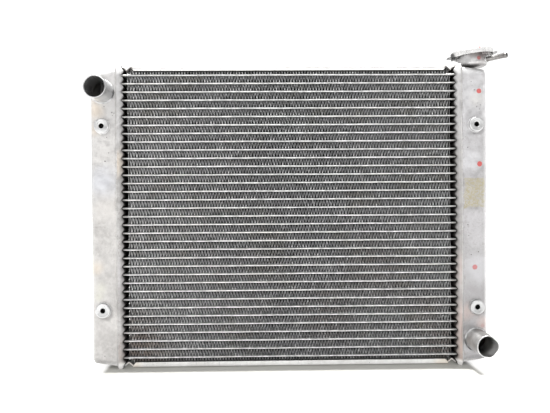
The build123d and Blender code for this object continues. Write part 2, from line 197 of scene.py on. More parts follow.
def aluminium(name, light, dark, rough=(0.34, 0.55), specks=0.35, scratch=0.25, bump=0.35,
              grain=(1, 1, 1), grit=0.0, before_stains=None, stains_and_shadows=(), pits=(), layers=(),
              dots=(), under=None, shade=()):
    """Worn aluminium, mottled between two colours.

    specks, scratch, bump, grit: strengths. rough: lowest and highest roughness.
    stains_and_shadows (stains, and painted shadows such as those below the bosses) and shade
    (painted light and shade): (centre, radius, softness, colour, strength), centre in mm.
    pits: (x, z, radius) on the tanks' front faces. dots: red, (centre, radius, strength).
    layers: (function, its arguments), painted in order.
    under: painted shade on surfaces that face down; normal z where it begins to fade, where it
    ends, and its strength.
    """
    m = Material(name)
    m.metal = ALUMINIUM_METALLIC
    m.mid = m.noise(160, 4.0, 0.6)
    fine = m.noise(1500, 3.0, 0.6, m.stretch(grain))
    mottle = m.weigh(m.noise(26, 4.0, 0.6, distort=0.6), 0.62, m.mid, 0.38)
    m.base = m.mix(m.rise(mottle, 0.36, 0.62), dark, light)
    # pale oxide bloom
    m.paint(tuple(min(0.95, c * 1.12) for c in light),
            m.rise(m.noise(60, 5.0, 0.7, distort=1.2), 0.56, 0.72, high=0.5))
    # handling scratches: noise stretched into thin lines
    lines = m.noise(1.0, 2.0, 0.5, m.stretch((900.0, 900.0, 60.0)))
    m.paint((0.40, 0.40, 0.42), m.rise(lines, 0.66, 0.70, high=scratch))
    # small dark specks, in patches
    cell = m.out("TexVoronoi", {"Vector": m.coord, "Scale": 230, "Randomness": 1.0}, "Distance")
    patches = m.rise(m.noise(45, 3.0), 0.50, 0.62)
    speck = m.times(m.fall(cell, 0.05, 0.11), m.times(patches, specks))
    m.paint((0.10, 0.09, 0.08), speck)
    if grit:
        m.paint((0.20, 0.165, 0.15), m.rise(m.noise(340, 5.0, 0.8), 0.50, 0.62),
                m.rise(m.noise(38, 4.0, 0.6), 0.36, 0.62, low=0.35), grit)
    m.rough = m.rise(m.weigh(m.mid, 0.6, fine, 0.4), 0.35, 0.65, *rough)
    if before_stains:
        before_stains(m)
    # stains, and painted shadows
    for centre, radius, soft, colour, strength in stains_and_shadows:
        m.paint(colour, m.spot(centre, radius, soft, radius * 0.5, 90), strength)
    for x, z, radius in pits:
        pit = m.spot((x, FACE_Y, z), radius, radius * 0.4, radius * 0.6, 900)
        m.paint((0.07, 0.06, 0.055), pit, 0.85)
    for layer, *arguments in layers:
        layer(m, *arguments)
    # painted shade darkens the surfaces that face up, in patches
    m.paint((0.165, 0.16, 0.152), m.rise(m.facing_up(), 0.80, 0.95, high=0.80),
            m.rise(m.noise(52, 4.0, 0.6), 0.30, 0.60, low=0.72))
    if dots:
        dotted = m.most(*[m.times(m.spot(centre, radius, 0.28, 0.45, 500), strength)
                          for centre, radius, strength in dots])
        m.paint(m.mix(m.noise(700, 2.0), (0.58, 0.045, 0.035), (0.40, 0.025, 0.022)), dotted)
        m.metal = m.times(m.metal, m.inverse(dotted))
    # painted shade on the surfaces that face down
    if under:
        m.paint((0.055, 0.048, 0.046), m.fall(m.facing_up(), *under))
    # painted light and shade, spot by spot
    for centre, radius, soft, colour, strength in shade:
        mask = m.times(m.spot(centre, radius, soft, radius * 0.15, 200), strength)
        m.paint(colour, mask)
        m.metal = m.times(m.inverse(m.times(mask, 0.6)), m.metal)
    height = m.math("SUBTRACT", m.weigh(m.mid, 0.7, fine, 0.25), m.times(speck, 0.8))
    normal = m.bump(height, bump, distance=0.0006)
    return m.finish(m.bump(m.noise(34, 2.0, 0.5), bump * 0.7, 0.0040, normal))


def dark_tongues(m):
    """Painted shade on the ends of the top side plate."""
    x, _, z = m.xyz()
    m.paint((0.10, 0.085, 0.08), m.rise(m.math("ABSOLUTE", x), 0.1700, 0.1725),
            m.rise(z, 0.0, 0.01, high=0.86))


def low_grime(m):
    """Brown grime that fades upwards from the foot."""
    bottom, top = -162, -120
    m.paint((0.46, 0.36, 0.31), m.fall(m.xyz()[2], bottom * MM, top * MM, high=0.6),
            m.rise(m.noise(70, 5.0, 0.65), 0.30, 0.62))


def seam_spots(m, strength):
    """Dark spots along the joint of tank and header."""
    side = m.math("ABSOLUTE", m.xyz()[0])
    spots = m.noise(420, 5.0, 0.7, m.stretch((1, 1, 0.45)))
    m.paint((0.30, 0.28, 0.26), m.rise(side, 0.1869, 0.1882), m.fall(side, 0.1896, 0.1950),
            m.rise(spots, 0.52, 0.66), strength)


def dark_web(m):
    """Paints the header's web nearly black and dull, as shade and dirt in the recess behind the
    fins, and paints shade on half of its bend.
    """
    x, y, _ = m.xyz()
    inner = m.fall(m.math("ABSOLUTE", x), 0.1862, 0.1868)
    web = m.times(inner, m.times(m.rise(y, 0.0041, 0.0082), m.fall(y, 0.0450, 0.0489)))
    m.paint((0.20, 0.19, 0.185), m.fall(m.math("ABSOLUTE", x), 0.1838, 0.1866), 0.45)
    m.paint((0.035, 0.032, 0.030), web, 0.93)
    m.metal = m.times(m.inverse(web), m.metal)
    m.rough = m.most(m.rough, m.times(web, 0.95))
    m.spec = m.times(m.inverse(web), 0.5)


def dark_holes(m):
    """Paints shade into the bosses' holes."""
    x, y, z = m.xyz()
    across = m.math("SUBTRACT", m.math("ABSOLUTE", x), 0.204)
    above = m.math("SUBTRACT", m.math("ABSOLUTE", z), 0.100)
    radius = m.math("SQRT", m.math("ADD", m.times(across, across), m.times(above, above)))
    m.paint(gray(0.015), m.fall(radius, 0.00255, 0.00290), m.rise(y, 0.0004, 0.0010))


def olive_residue(m):
    """A patchy olive rectangle with ragged edges on the right tank's front face."""
    left, right, bottom, top = 191.0, 214.4, 9.5, 41.3
    x, y, z = m.xyz()
    ragged = m.times(m.math("SUBTRACT", m.noise(110, 4.0, 0.65), 0.5), 0.010)
    ragged_x = m.math("ADD", x, ragged)
    ragged_z = m.math("ADD", z, ragged)
    mask = m.times(m.rise(ragged_x, (left - 0.6) * MM, (left + 0.6) * MM),
                   m.fall(ragged_x, (right - 0.6) * MM, (right + 0.6) * MM),
                   m.rise(ragged_z, (bottom - 1.2) * MM, (bottom + 1.2) * MM),
                   m.fall(z, (top - 0.3) * MM, (top + 0.3) * MM),
                   m.fall(y, 5.7 * MM, 6.2 * MM),
                   m.rise(m.noise(200, 5.0, 0.7, distort=2.0), 0.36, 0.62, 0.12, 0.85))
    m.paint((0.36, 0.315, 0.185), mask)
    m.metal = m.times(m.inverse(mask), m.metal)
    m.rough = m.most(m.rough, m.times(mask, 0.65))


def painted_end_light(m, strength):
    """Painted light on the front face's upper and lower edges, and fainter painted light on its
    upper part.
    """
    _, y, z = m.xyz()
    face = m.fall(y, 0.0085, 0.0110)
    drift = m.times(m.mid, 0.004)
    m.paint((0.97, 0.97, 0.96), m.rise(m.math("ADD", z, drift), 0.1560, 0.1645),
            strength, face)
    m.paint((0.97, 0.96, 0.94), m.fall(m.math("SUBTRACT", z, drift), -0.1625, -0.1575),
            strength, face)
    m.paint((0.86, 0.86, 0.87), m.rise(z, 0.040, 0.150), strength * 0.35, face)


def painted_rim_light(m, strength):
    """A painted highlight along the front outer edge."""
    x, y, _ = m.xyz()
    m.paint(gray(0.97), m.rise(m.math("ABSOLUTE", x), 0.2118, 0.2150), strength,
            m.fall(y, 0.0085, 0.0115))


# ------------------------------------------------------------------ other materials
def plain_material(name, noise, colours, rough, metal, bump_noise, bump):
    """Two colours mixed by one noise; rough is its lowest and highest roughness."""
    m = Material(name)
    mottle = m.noise(noise, 4.0)
    m.base = m.mix(mottle, *colours)
    m.rough = m.rise(mottle, 0.3, 0.7, *rough)
    m.metal = metal
    return m.finish(m.bump(m.noise(bump_noise, 3.0), bump, distance=0.0002))


# brown corrosion on the fins, by the lower corners and right of the middle:
# centre (mm), radius, softness, strength
FIN_CORROSION = (
    ((-166, 10, -150), 30, 22, 0.95), ((-172, 10, -118), 16, 16, 0.55),
    ((172, 10, -150), 26, 20, 0.7), ((90, 10, -60), 34, 26, 0.35),
    ((40, 10, -105), 26, 22, 0.45), ((150, 10, -105), 20, 16, 0.35))


def fin_material():
    m = Material("fin_metal")
    x, y, z = m.xyz()
    fine = m.noise(900, 3.0, 0.6)
    m.base = m.mix(m.rise(m.noise(120, 4.0, 0.65), 0.35, 0.65), (0.70, 0.70, 0.71), gray(0.88))
    # left side paler, the middle and right darker
    drift = m.times(m.noise(14, 3.0, 0.6), 0.06)
    m.paint((0.33, 0.33, 0.34), m.rise(m.math("ADD", x, drift), -0.19, 0.03, high=0.50))
    # olive dust in patches
    m.paint((0.40, 0.37, 0.30),
            m.rise(m.noise(26, 4.0, 0.65, distort=0.8), 0.50, 0.68, high=0.50))
    brown = m.most(*[m.times(m.spot(centre, radius, soft, 14, 60), strength)
                     for centre, radius, soft, strength in FIN_CORROSION])
    m.paint((0.36, 0.27, 0.22), brown, 0.85)
    # bright crushed tips here and there
    front = m.fall(y, 0.0118, 0.0132)
    m.paint(gray(0.97), m.rise(m.noise(210, 2.0), 0.58, 0.66, high=0.85), front)
    # painted shadow under each tube; a painted highlight on the foot of each fold
    rows = m.math("DIVIDE", m.math("SUBTRACT", z, CORE_Z * MM), PITCH * MM)
    height = m.math("FRACT", m.math("ADD", rows, 100.0))      # 0 at a tube, 1 at the next
    m.paint((0.08, 0.078, 0.075), m.rise(height, 0.60, 0.82, high=0.88),
            m.inverse(m.times(front, 0.55)))
    m.paint(gray(0.97), m.fall(height, 0.16, 0.36, high=0.75), m.rise(height, 0.07, 0.10),
            front)
    # painted shadow of the side plates on the rows beside them
    from_middle = m.math("ABSOLUTE", m.math("SUBTRACT", z, CORE_Z * MM))
    m.paint((0.07, 0.065, 0.06), m.rise(from_middle, 0.1568, 0.1582, high=0.85))
    # painted shade on the undersides of the folds
    m.paint((0.12, 0.12, 0.118), m.fall(m.facing_up(), -0.12, 0.12, high=0.86))
    # painted shade deep inside, and at the two ends of each strip
    deep = m.rise(y, 0.0112, 0.0200, high=0.94)
    m.paint((0.030, 0.029, 0.028), deep, m.fall(y, 0.0330, 0.0400, low=0.15))
    m.paint((0.05, 0.045, 0.04), m.rise(m.math("ABSOLUTE", x), 0.1760, 0.1768, high=0.9),
            m.rise(y, 0.0112, 0.0125))
    m.rough = m.rise(fine, 0.3, 0.7, 0.45, 0.65)
    m.metal = m.times(m.inverse(deep), 0.30)
    m.spec = 0.25
    # louvres pressed across the fin
    louvre_pitch = 0.0011
    louvres = m.math("SINE", m.times(y, 2 * math.pi / louvre_pitch))
    return m.finish(m.bump(m.weigh(louvres, 0.5, fine, 0.4), 0.55, distance=0.00022))


def tube_material():
    m = Material("tube_metal")
    x, y, _ = m.xyz()
    side = m.math("ABSOLUTE", x)
    mid = m.noise(150, 4.0, 0.65)
    fine = m.noise(1200, 3.0, 0.6, m.stretch((0.25, 1, 1)))
    m.base = m.mix(m.rise(mid, 0.35, 0.65), (0.52, 0.52, 0.515), (0.76, 0.76, 0.75))
    # gray dirt, then a faint tan tint
    m.paint((0.44, 0.43, 0.40), m.rise(m.noise(320, 4.0, 0.7), 0.56, 0.70, high=0.55))
    m.paint((0.72, 0.68, 0.60), m.rise(m.noise(22, 3.0), 0.45, 0.65), 0.15)
    # the bare ends next to the headers are duller
    m.paint((0.50, 0.49, 0.47), m.rise(side, 0.1765, 0.1790, high=0.45))
    # painted shade between the fins, darkest in the gap between fins and header
    deep = m.times(m.rise(y, 0.0120, 0.0200, high=0.80), m.fall(y, 0.0355, 0.0412))
    gap = m.times(m.rise(side, 0.1765, 0.1785), m.rise(y, 0.0116, 0.0135),
                  m.fall(y, 0.0390, 0.0412))
    deep = m.most(deep, m.times(gap, 0.95))
    m.paint(gray(0.07), deep)
    m.rough = m.rise(fine, 0.3, 0.7, 0.40, 0.60)
    m.metal = m.times(m.inverse(deep), 0.75)
    m.spec = 0.3
    return m.finish(m.bump(m.weigh(mid, 0.5, fine, 0.5), 0.4, distance=0.0003))


# ------------------------------------------------------------------ the materials
WARM = (0.80, 0.66, 0.50)
PINK = (0.66, 0.50, 0.45)
BROWN = (0.40, 0.27, 0.21)
YELLOWISH = (0.62, 0.62, 0.50)
EAR_SHADE = (0.05, 0.045, 0.045)
ROOT_SHADE = (0.03, 0.028, 0.027)


def boss_shadows(x):
    """Painted shadows on a tank's face just below its two bosses."""
    return tuple(((x, 5.5, z), 8.4, 1.8, (0.20, 0.19, 0.19), 0.55) for z in (97.6, -102.4))


tank_right = aluminium(
    "tank_right_metal", light=(0.54, 0.53, 0.54), dark=(0.385, 0.375, 0.38),
    grain=(1, 1, 0.2), specks=0.7, grit=0.32,
    stains_and_shadows=(((206, 5, -80), 60, 50, (0.34, 0.33, 0.335), 0.42), *boss_shadows(206),
            ((206, 5, 128), 7, 5, (0.66, 0.64, 0.60), 0.5),
            ((193, 5, -105), 8, 7, PINK, 0.35), ((212, 5, -118), 7, 6, PINK, 0.4),
            ((205, 5, -60), 14, 10, (0.62, 0.62, 0.64), 0.5),
            ((197, 5, 60), 10, 9, (0.70, 0.70, 0.72), 0.5)),
    pits=((205.5, 119.5, 0.7), (208.5, 117.0, 0.6), (209.6, 121.5, 0.5), (206.8, 123.5, 0.4),
          (203.0, 138.0, 0.9), (199.5, 147.0, 0.6), (200.5, 143.0, 0.5), (206.5, -40.0, 0.6),
          (198.5, -43.0, 0.5), (195.4, 75.0, 0.6), (195.0, -10.0, 0.6), (196.0, -22.0, 0.5)),
    layers=((seam_spots, 0.75), (olive_residue,), (painted_end_light, 0.9), (painted_rim_light, 0.40)),
    dots=(((208.0, 5.5, 136.7), 2.65, 0.86), ((208.4, 5.5, 56.7), 2.8, 0.86),
          ((202.5, 5.5, -56.6), 2.75, 0.62), ((210.8, 5.5, -121.1), 2.2, 0.16)))
tank_left = aluminium(
    "tank_left_metal", light=(0.61, 0.595, 0.58), dark=(0.44, 0.425, 0.415),
    grain=(1, 1, 0.2), grit=0.18,
    stains_and_shadows=(*boss_shadows(-202),
            ((-213, 5, 118), 9, 7, WARM, 0.60), ((-213, 5, 96), 6, 6, WARM, 0.4),
            ((-211, 5, -54), 6, 6, WARM, 0.32), ((-207, 5, -76), 5, 6, YELLOWISH, 0.35),
            ((-209, 5, -86), 4, 4, YELLOWISH, 0.3),
            ((-205, 5, 40), 16, 12, (0.66, 0.68, 0.74), 0.5),
            ((-200, 5, 10), 12, 10, (0.74, 0.71, 0.68), 0.4)),
    pits=((-201.6, 121.4, 0.7), (-193.2, 115.0, 0.8), (-190.9, 114.2, 0.6),
          (-192.6, 111.5, 0.5), (-201.0, 62.0, 0.7), (-197.0, 71.0, 0.5),
          (-199.0, 88.0, 0.5), (-203.0, -150.0, 0.5)),
    layers=((seam_spots, 0.35), (painted_end_light, 0.8), (painted_rim_light, 0.15)))
header_metal = aluminium(
    "header_metal", light=(0.52, 0.51, 0.505), dark=(0.345, 0.335, 0.33), rough=(0.36, 0.55),
    specks=0.6, grit=0.50,
    stains_and_shadows=(((184, 6, 10), 110, 60, (0.36, 0.345, 0.34), 0.45),
            ((184, 6, -120), 26, 22, PINK, 0.5), ((184, 6, -60), 16, 14, PINK, 0.3),
            ((-184, 6, 60), 12, 10, WARM, 0.4),
            ((-184, 6, -60), 18, 14, (0.60, 0.58, 0.60), 0.4),
            ((183, 6, -150), 16, 12, BROWN, 0.35)),
    layers=((low_grime,), (seam_spots, 0.5), (dark_web,), (painted_end_light, 0.8)))
plate_metal = aluminium(
    "side_plate_metal", light=(0.88, 0.875, 0.86), dark=(0.74, 0.73, 0.71),
    rough=(0.34, 0.5), specks=0.9, scratch=0.35, before_stains=dark_tongues,
    stains_and_shadows=(((170, 10, -163), 10, 8, WARM, 0.45), ((-171, 10, -163), 8, 6, WARM, 0.35)))
inlet_metal = aluminium(
    "pipe_metal", light=gray(0.56), dark=(0.40, 0.40, 0.41), rough=(0.30, 0.48),
    specks=0.5, scratch=0.4)
outlet_metal = aluminium(
    "outlet_metal", light=(0.72, 0.72, 0.71), dark=(0.52, 0.52, 0.51), rough=(0.30, 0.48),
    specks=0.6, scratch=0.4, grit=0.15,
    # painted light on the inner wall near the mouth
    shade=(((212.0, -26.0, -141.0), 9.0, 8.0, (0.97, 0.96, 0.95), 0.95),))
boss_metal = aluminium(
    "boss_metal", light=gray(0.64), dark=gray(0.50), rough=(0.26, 0.42),
    specks=0.2, scratch=0.1, layers=((dark_holes,),))
neck_metal = aluminium(
    "neck_metal", light=(0.74, 0.735, 0.73), dark=(0.50, 0.49, 0.49), rough=(0.28, 0.50),
    # under paints shade on the surfaces that face down
    specks=0.4, scratch=0.35, under=(-0.75, -0.30, 0.8),
    dots=(((209.8, 10.5, 174.3), 2.2, 0.85),),
    # painted shadow of the cap on the top of the neck, and painted shade on its lower band
    shade=(((213.0, 12.0, 179.5), 8.0, 6.0, (0.16, 0.125, 0.12), 0.80),
           ((203.0, 12.0, 180.0), 4.0, 4.5, (0.20, 0.16, 0.15), 0.65),
           ((207.0, 14.0, 164.0), 5.0, 3.5, (0.22, 0.21, 0.21), 0.75),
           ((214.0, 14.0, 166.0), 4.5, 3.0, (0.25, 0.24, 0.24), 0.6)))
nipple_metal = aluminium(
    "nipple_metal", light=(0.40, 0.39, 0.38), dark=(0.20, 0.19, 0.185), rough=(0.30, 0.50),
    specks=0.9, scratch=0.5, bump=0.6)
cap_metal = aluminium(
    "cap_metal", light=(0.93, 0.92, 0.91), dark=(0.74, 0.73, 0.72), rough=(0.22, 0.42),
    # under paints shade on the surfaces that face down
    specks=0.5, scratch=0.5, under=(-0.55, -0.12, 0.93),
    dots=(((208.3, 4.6, 184.8), 1.6, 0.8),),
    # painted shade on the cap's left ear, its right ear, and a spot beside the left one
    shade=(((182.0, 24.0, 174.6), 8.0, 2.5, (0.030, 0.028, 0.027), 0.93),
           ((233.0, 22.0, 183.2), 5.0, 2.0, EAR_SHADE, 0.85),
           ((186.6, 22.0, 181.0), 2.0, 1.5, EAR_SHADE, 0.85)))
seam_metal = aluminium(
    "seam_weld_metal", light=(0.60, 0.59, 0.58), dark=(0.42, 0.41, 0.40), rough=(0.34, 0.6),
    specks=0.7, scratch=0.0, bump=0.8, grit=0.3)
root_metal = aluminium(
    "stub_root_metal", light=gray(0.62), dark=gray(0.42), rough=(0.30, 0.55),
    specks=0.7, scratch=0.0, bump=0.8,
    # painted shade beside the roots of the two stubs
    shade=(((-191.0, 4.5, 134.5), 5.0, 2.5, gray(0.03), 0.85),
           ((192.0, 4.5, -139.0), 4.0, 2.0, ROOT_SHADE, 0.85),
           ((196.0, 4.5, -145.5), 3.0, 2.0, ROOT_SHADE, 0.85)))
weld_metal = aluminium(
    "weld_metal", light=gray(0.74), dark=gray(0.50), rough=(0.30, 0.55),
    specks=0.7, scratch=0.0, bump=0.8)
inner_metal = aluminium(
    "cap_inner_metal", light=(0.72, 0.71, 0.68), dark=(0.50, 0.48, 0.44), rough=(0.25, 0.45),
    specks=0.3)
brass = plain_material(
    "valve_brass_metal", noise=180, colours=((0.62, 0.43, 0.20), (0.42, 0.27, 0.12)),
    rough=(0.28, 0.5), metal=1.0, bump_noise=1600, bump=0.2)
rubber = plain_material(
    "seal_black_rubber", noise=400, colours=((0.020, 0.020, 0.021), (0.045, 0.043, 0.040)),
    rough=(0.45, 0.75), metal=0.0, bump_noise=1800, bump=0.35)
fin_metal = fin_material()
tube_metal = tube_material()


# ------------------------------------------------------------------ mesh helpers
class Mesh:
    """Collects vertices (mm) and faces, then builds the object."""

    def __init__(self):
        self.verts = []
        self.faces = []

    def face(self, corners, flip):
        self.faces.append(corners[::-1] if flip else corners)

    def loft(self, rings, closed=False, caps=False, flip=False):
        """Joins rings of equal length; closed joins the last ring to the first."""
        n = len(rings[0])
        count = len(rings)
        base = len(self.verts)
        for ring in rings:
            self.verts.extend([tuple(p) for p in ring])
        for i in range(count if closed else count - 1):
            self.join(base + i * n, base + ((i + 1) % count) * n, n, flip)
        if caps:
            self.face(tuple(range(base, base + n)), not flip)
            last = base + (count - 1) * n
            self.face(tuple(range(last, last + n)), flip)
        return base

    def join(self, a, b, n, flip):
        """Quads between the n-point rings that start at vertices a and b."""
        for j in range(n):
            k = (j + 1) % n
            self.face((a + j, a + k, b + k, b + j), flip)

    def build(self, name, material, slot, angle=40, body="radiator", replaces=None):
        """Makes the object; edges sharper than angle (degrees) stay sharp."""
        data = bpy.data.meshes.new(name)
        data.from_pydata([(v[0] * MM, v[1] * MM, v[2] * MM) for v in self.verts], [], self.faces)
        data.validate()
        data.update()
        obj = bpy.data.objects.new(name, data)
        bpy.context.scene.collection.objects.link(obj)
        data.materials.append(material)
        data.polygons.foreach_set("use_smooth", [True] * len(data.polygons))
        data.set_sharp_from_angle(angle=math.radians(angle))
        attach(obj, body)
        if replaces:
            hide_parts(replaces)
        return obj


def cos_sin(degrees):
    angle = math.radians(degrees)
    return math.cos(angle), math.sin(angle)


def full_turn(n):
    return np.linspace(0, 2 * math.pi, n, endpoint=False)


def circle(x, y, z, radius, n):
    """n points on a circle that faces along y."""
    return [(x + radius * math.cos(a), y, z + radius * math.sin(a)) for a in full_turn(n)]


def lathe(x, z, profile, n, shape=None):
    """Turns a closed profile about a y axis through x, z.

    The profile is (distance forward of the tank's face, radius). shape may move each point.
    """
    mesh = Mesh()
    rings = []
    for k in range(n):
        angle = 2 * math.pi * k / n
        ring = []
        for along, radius in profile:
            if shape:
                along, radius = shape(along, radius, angle)
            ring.append((x + math.cos(angle) * radius, FACE_Y - along,
                         z + math.sin(angle) * radius))
        rings.append(ring)
    mesh.loft(rings, closed=True)
    return mesh


def weld(name, path, material, slot, radius, ripple, seed, squash, ripple_length, limit=None):
    """Weld bead swept along a closed path, with overlapping ripples.

    ripple: spread of the ripples' sizes. squash: scale across the path, away from its centre.
    limit: (axis, low, high), which the bead is clipped to.
    """
    random = np.random.RandomState(seed)
    path = np.array(path, float)
    lengths = np.linalg.norm(np.roll(path, -1, 0) - path, axis=1)
    stations = np.concatenate([[0], np.cumsum(lengths)])
    n = max(24, int(stations[-1] / (ripple_length / 3.0)))
    n -= n % 3
    at = np.linspace(0, stations[-1], n, endpoint=False)
    looped = np.vstack([path, path[:1]])
    line = np.array([np.interp(at, stations, looped[:, k]) for k in range(3)]).T
    tangents = np.roll(line, -1, 0) - np.roll(line, 1, 0)
    tangents /= np.linalg.norm(tangents, axis=1)[:, None]
    centre = path.mean(0)
    rings = []
    for i in range(n):
        if i % 3 == 0:
            size = 1.0 + random.uniform(-ripple, ripple)
        r = radius * size * (0.93, 1.05, 1.0)[i % 3]
        outward = line[i] - centre
        outward -= tangents[i] * outward.dot(tangents[i])
        outward /= max(1e-6, np.linalg.norm(outward))
        up = np.cross(tangents[i], outward)
        middle = line[i] + outward * random.uniform(-0.06, 0.06)
        rings.append([middle + r * (math.cos(a) * outward * squash + math.sin(a) * up)
                      for a in full_turn(9)])
    mesh = Mesh()
    mesh.loft(rings, closed=True)
    if limit:
        axis, low, high = limit
        verts = np.array(mesh.verts)
        verts[:, axis] = np.clip(verts[:, axis], low, high)
        mesh.verts = verts.tolist()
    mesh.build(name, material, slot, angle=60)


def rounded_rect(half_y, half_z, r, step, corner):
    """Loop of (y, z) about 0, 0: corner segments per corner, straights cut at about step."""
    cy, cz = half_y - r, half_z - r
    corners = [(cy, cz, 0), (-cy, cz, 90), (-cy, -cz, 180), (cy, -cz, 270)]
    points = []
    for k, (y, z, start) in enumerate(corners):
        for i in range(corner + 1):
            c, s = cos_sin(start + 90 * i / corner)
            points.append((y + r * c, z + r * s))
        y0, z0 = points[-1]
        next_y, next_z, next_start = corners[(k + 1) % 4]
        c, s = cos_sin(next_start)
        dy, dz = next_y + r * c - y0, next_z + r * s - z0
        n = max(1, int(round(math.hypot(dy, dz) / step)))
        points += [(y0 + dy * i / n, z0 + dz * i / n) for i in range(1, n)]
    return points


# ------------------------------------------------------------------ corrugated fins
FIN_PERIODS = 113
EDGE_FIN_PERIODS = 111            # in the top and bottom rows
FIN_PERIOD = 2 * 176.7 / FIN_PERIODS
FIN_HALF = (PITCH - TUBE_T) / 2 - 0.02
FIN_T = 0.16
BANK_ROWS = 6
# one period of the fold: place along it, and height from -1 to 1
FOLD_ALONG = np.array([0.0, 0.10, 0.5, 0.90, 1.0, 1.10, 1.5, 1.90]) / 2.0
FOLD_HEIGHT = np.array([-1.0, -0.86, 0.0, 0.86, 1.0, 0.86, 0.0, -0.86])
# Stations from front to back: y, sideways shift, share of the front edge's bends, outward
# spread of the strip's ends, thickness. The shift folds the sheet across itself half way
# back, so nothing shows straight through. The front edge is burred, so it is thicker.
FIN_STATIONS = (
    (Y_FRONT + 0.05, 0.0, 1.0, 0.0, 0.36),
    (Y_FRONT + 1.1, 0.05, 0.45, 0.2, 0.18),
    (Y_FRONT + 13.6, 0.10, 0.0, 1.6, FIN_T),
    (Y_FRONT + 15.0, 1.60, 0.0, 1.9, FIN_T),
    (Y_FRONT + 17.0, -1.60, 0.0, 2.3, FIN_T),
    (Y_FRONT + 18.4, 0.0, 0.0, 2.5, FIN_T),
    (Y_BACK - 0.1, 0.0, 0.25, 2.6, FIN_T))


def add_fin_row(mesh, row):
    zc = CORE_Z + (row - N_TUBES / 2) * PITCH
    periods = EDGE_FIN_PERIODS if row in (0, N_TUBES) else FIN_PERIODS
    half = periods * FIN_PERIOD / 2
    random = np.random.RandomState(500 + row)
    per = len(FOLD_ALONG)
    n = periods * per
    k = np.arange(n + 1)
    x = -half + (k // per) * FIN_PERIOD + FOLD_ALONG[k % per] * FIN_PERIOD
    fold = FOLD_HEIGHT[k % per]
    # slow drift of the pitch, and each fold's own error
    drift = 0.28 * np.sin(x / 37.0 + random.uniform(0, 6))
    drift += 0.20 * np.sin(x / 11.0 + random.uniform(0, 6))
    drift *= np.clip((half - np.abs(x)) / 8.0, 0, 1)
    own = random.uniform(-0.13, 0.13, 2 * periods + 3)[(k + 2) * 2 // per]
    # front edges bent by handling: a slow lean, a jitter for each fold and a few dents
    lean = 0.30 * np.sin(x / 53.0 + random.uniform(0, 6.28)) + random.normal(0, 0.10, 1)[0]
    knots = np.arange(0, n + 1 + per, per // 2)
    jitter = np.interp(k, knots, random.normal(0, 0.17, len(knots)))
    dents = np.zeros(n + 1)
    for _ in range(random.randint(2, 6)):
        middle = random.uniform(-half, half)
        width = random.uniform(1.5, 6.0)
        dents += random.uniform(-0.8, 0.8) * np.exp(-((x - middle) / width) ** 2)
    z = zc + fold * (FIN_HALF - FIN_T / 2)
    dz = np.gradient(z)
    low, high = zc - FIN_HALF, zc + FIN_HALF
    rings = []
    for i, (y, shift, bend, spread, thick) in enumerate(FIN_STATIONS):
        xs = x + drift + own + shift
        # the cut ends of the strip stand upright
        xs[:5] = np.linspace(-half, -half + 0.35, 5) - spread
        xs[-5:] = np.linspace(half - 0.35, half, 5) + spread
        xs = xs + (lean + jitter + dents) * bend * (0.35 + 0.65 * fold)
        xs = np.clip(xs, -half - 2.8, half + 2.8)
        dx = np.gradient(xs)
        length = np.hypot(dx, dz)
        length[length < 1e-6] = 1.0
        nx, nz = -dz / length, dx / length
        burr = random.uniform(-0.04, 0.22, n + 1) if i == 0 else np.zeros(n + 1)
        upper, lower = [
            np.stack([xs + nx * t / 2, y + burr, np.clip(z + nz * t / 2, low, high)], 1)
            for t in (thick, -thick)]
        rings.append(np.vstack([upper, lower[::-1]]))
    base = mesh.loft(rings)
    # close the front and back edges
    m = n + 1
    for i, flip in ((0, True), (len(FIN_STATIONS) - 1, False)):
        b = base + i * 2 * m
        for j in range(n):
            mesh.face((b + j, b + j + 1, b + 2 * m - 2 - j, b + 2 * m - 1 - j), flip)


def fin_bank(number):
    mesh = Mesh()
    for row in range(number * BANK_ROWS, (number + 1) * BANK_ROWS):
        add_fin_row(mesh, row)
    return mesh.build(f"fin_bank_{number + 1}", fin_metal, "fin_aluminium", angle=50)


banks = [fin_bank(number) for number in range((N_TUBES + 1) // BANK_ROWS)]
for number, bank in enumerate(banks):
    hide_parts(("fins_lower", "fins_middle", "fins_upper")[number // 2])


# ------------------------------------------------------------------ flat tubes with round noses
def flat_tubes():
    r = TUBE_T / 2
    outline = []
    for start, centre_y in ((90, Y_BACK - 0.12 - r), (-90, Y_FRONT + r)):
        for degrees in np.linspace(start, start - 180, 9):
            c, s = cos_sin(degrees)
            outline.append((centre_y + r * c, r * s))
    xs = np.concatenate([[-188.9], np.linspace(-186.5, 186.5, 75), [188.9]])
    mesh = Mesh()
    for i in range(N_TUBES):
        zc = CORE_Z + (i - (N_TUBES - 1) / 2) * PITCH
        phase_a, phase_b = np.random.RandomState(900 + i).uniform(0, 6.28, 2)
        rings = []
        for x in xs:
            # slight waviness, fading out towards the headers
            free = np.clip((181 - abs(x)) / 10, 0, 1)
            dz = free * (0.06 * math.sin(x / 31 + phase_a) + 0.05 * math.sin(x / 9.0 + phase_b))
            dy = free * (0.06 + 0.06 * math.sin(x / 14 + phase_b))
            rings.append([(x, y + (dy if y < CORE_Y else 0), zc + z + dz) for y, z in outline])
        mesh.loft(rings, caps=True)
    mesh.build("flat_tubes", tube_metal, "tube_aluminium", angle=60, replaces="core_tubes")


flat_tubes()

# ------------------------------------------------------------------ headers
# Pressed plates with a ribbed web. Distances from the middle of the core along x:
APEX, VALLEY, RIM = 181.3, 183.5, 188.0     # web between tubes, web at a tube, open edge
HEADER_Y, HEADER_Z = 22.55, 166.0           # half sizes
HEADER_T = 1.5
HEADER_CORNER = 4.5
HEADER_BEND = 2.6


def rib(z):
    """0 at a tube, 1 half way between two tubes."""
    v = 1 - abs(2 * ((z / PITCH) % 1.0) - 1)
    return (0.5 - 0.5 * math.cos(math.pi * v)) * 0.55 + v * 0.45


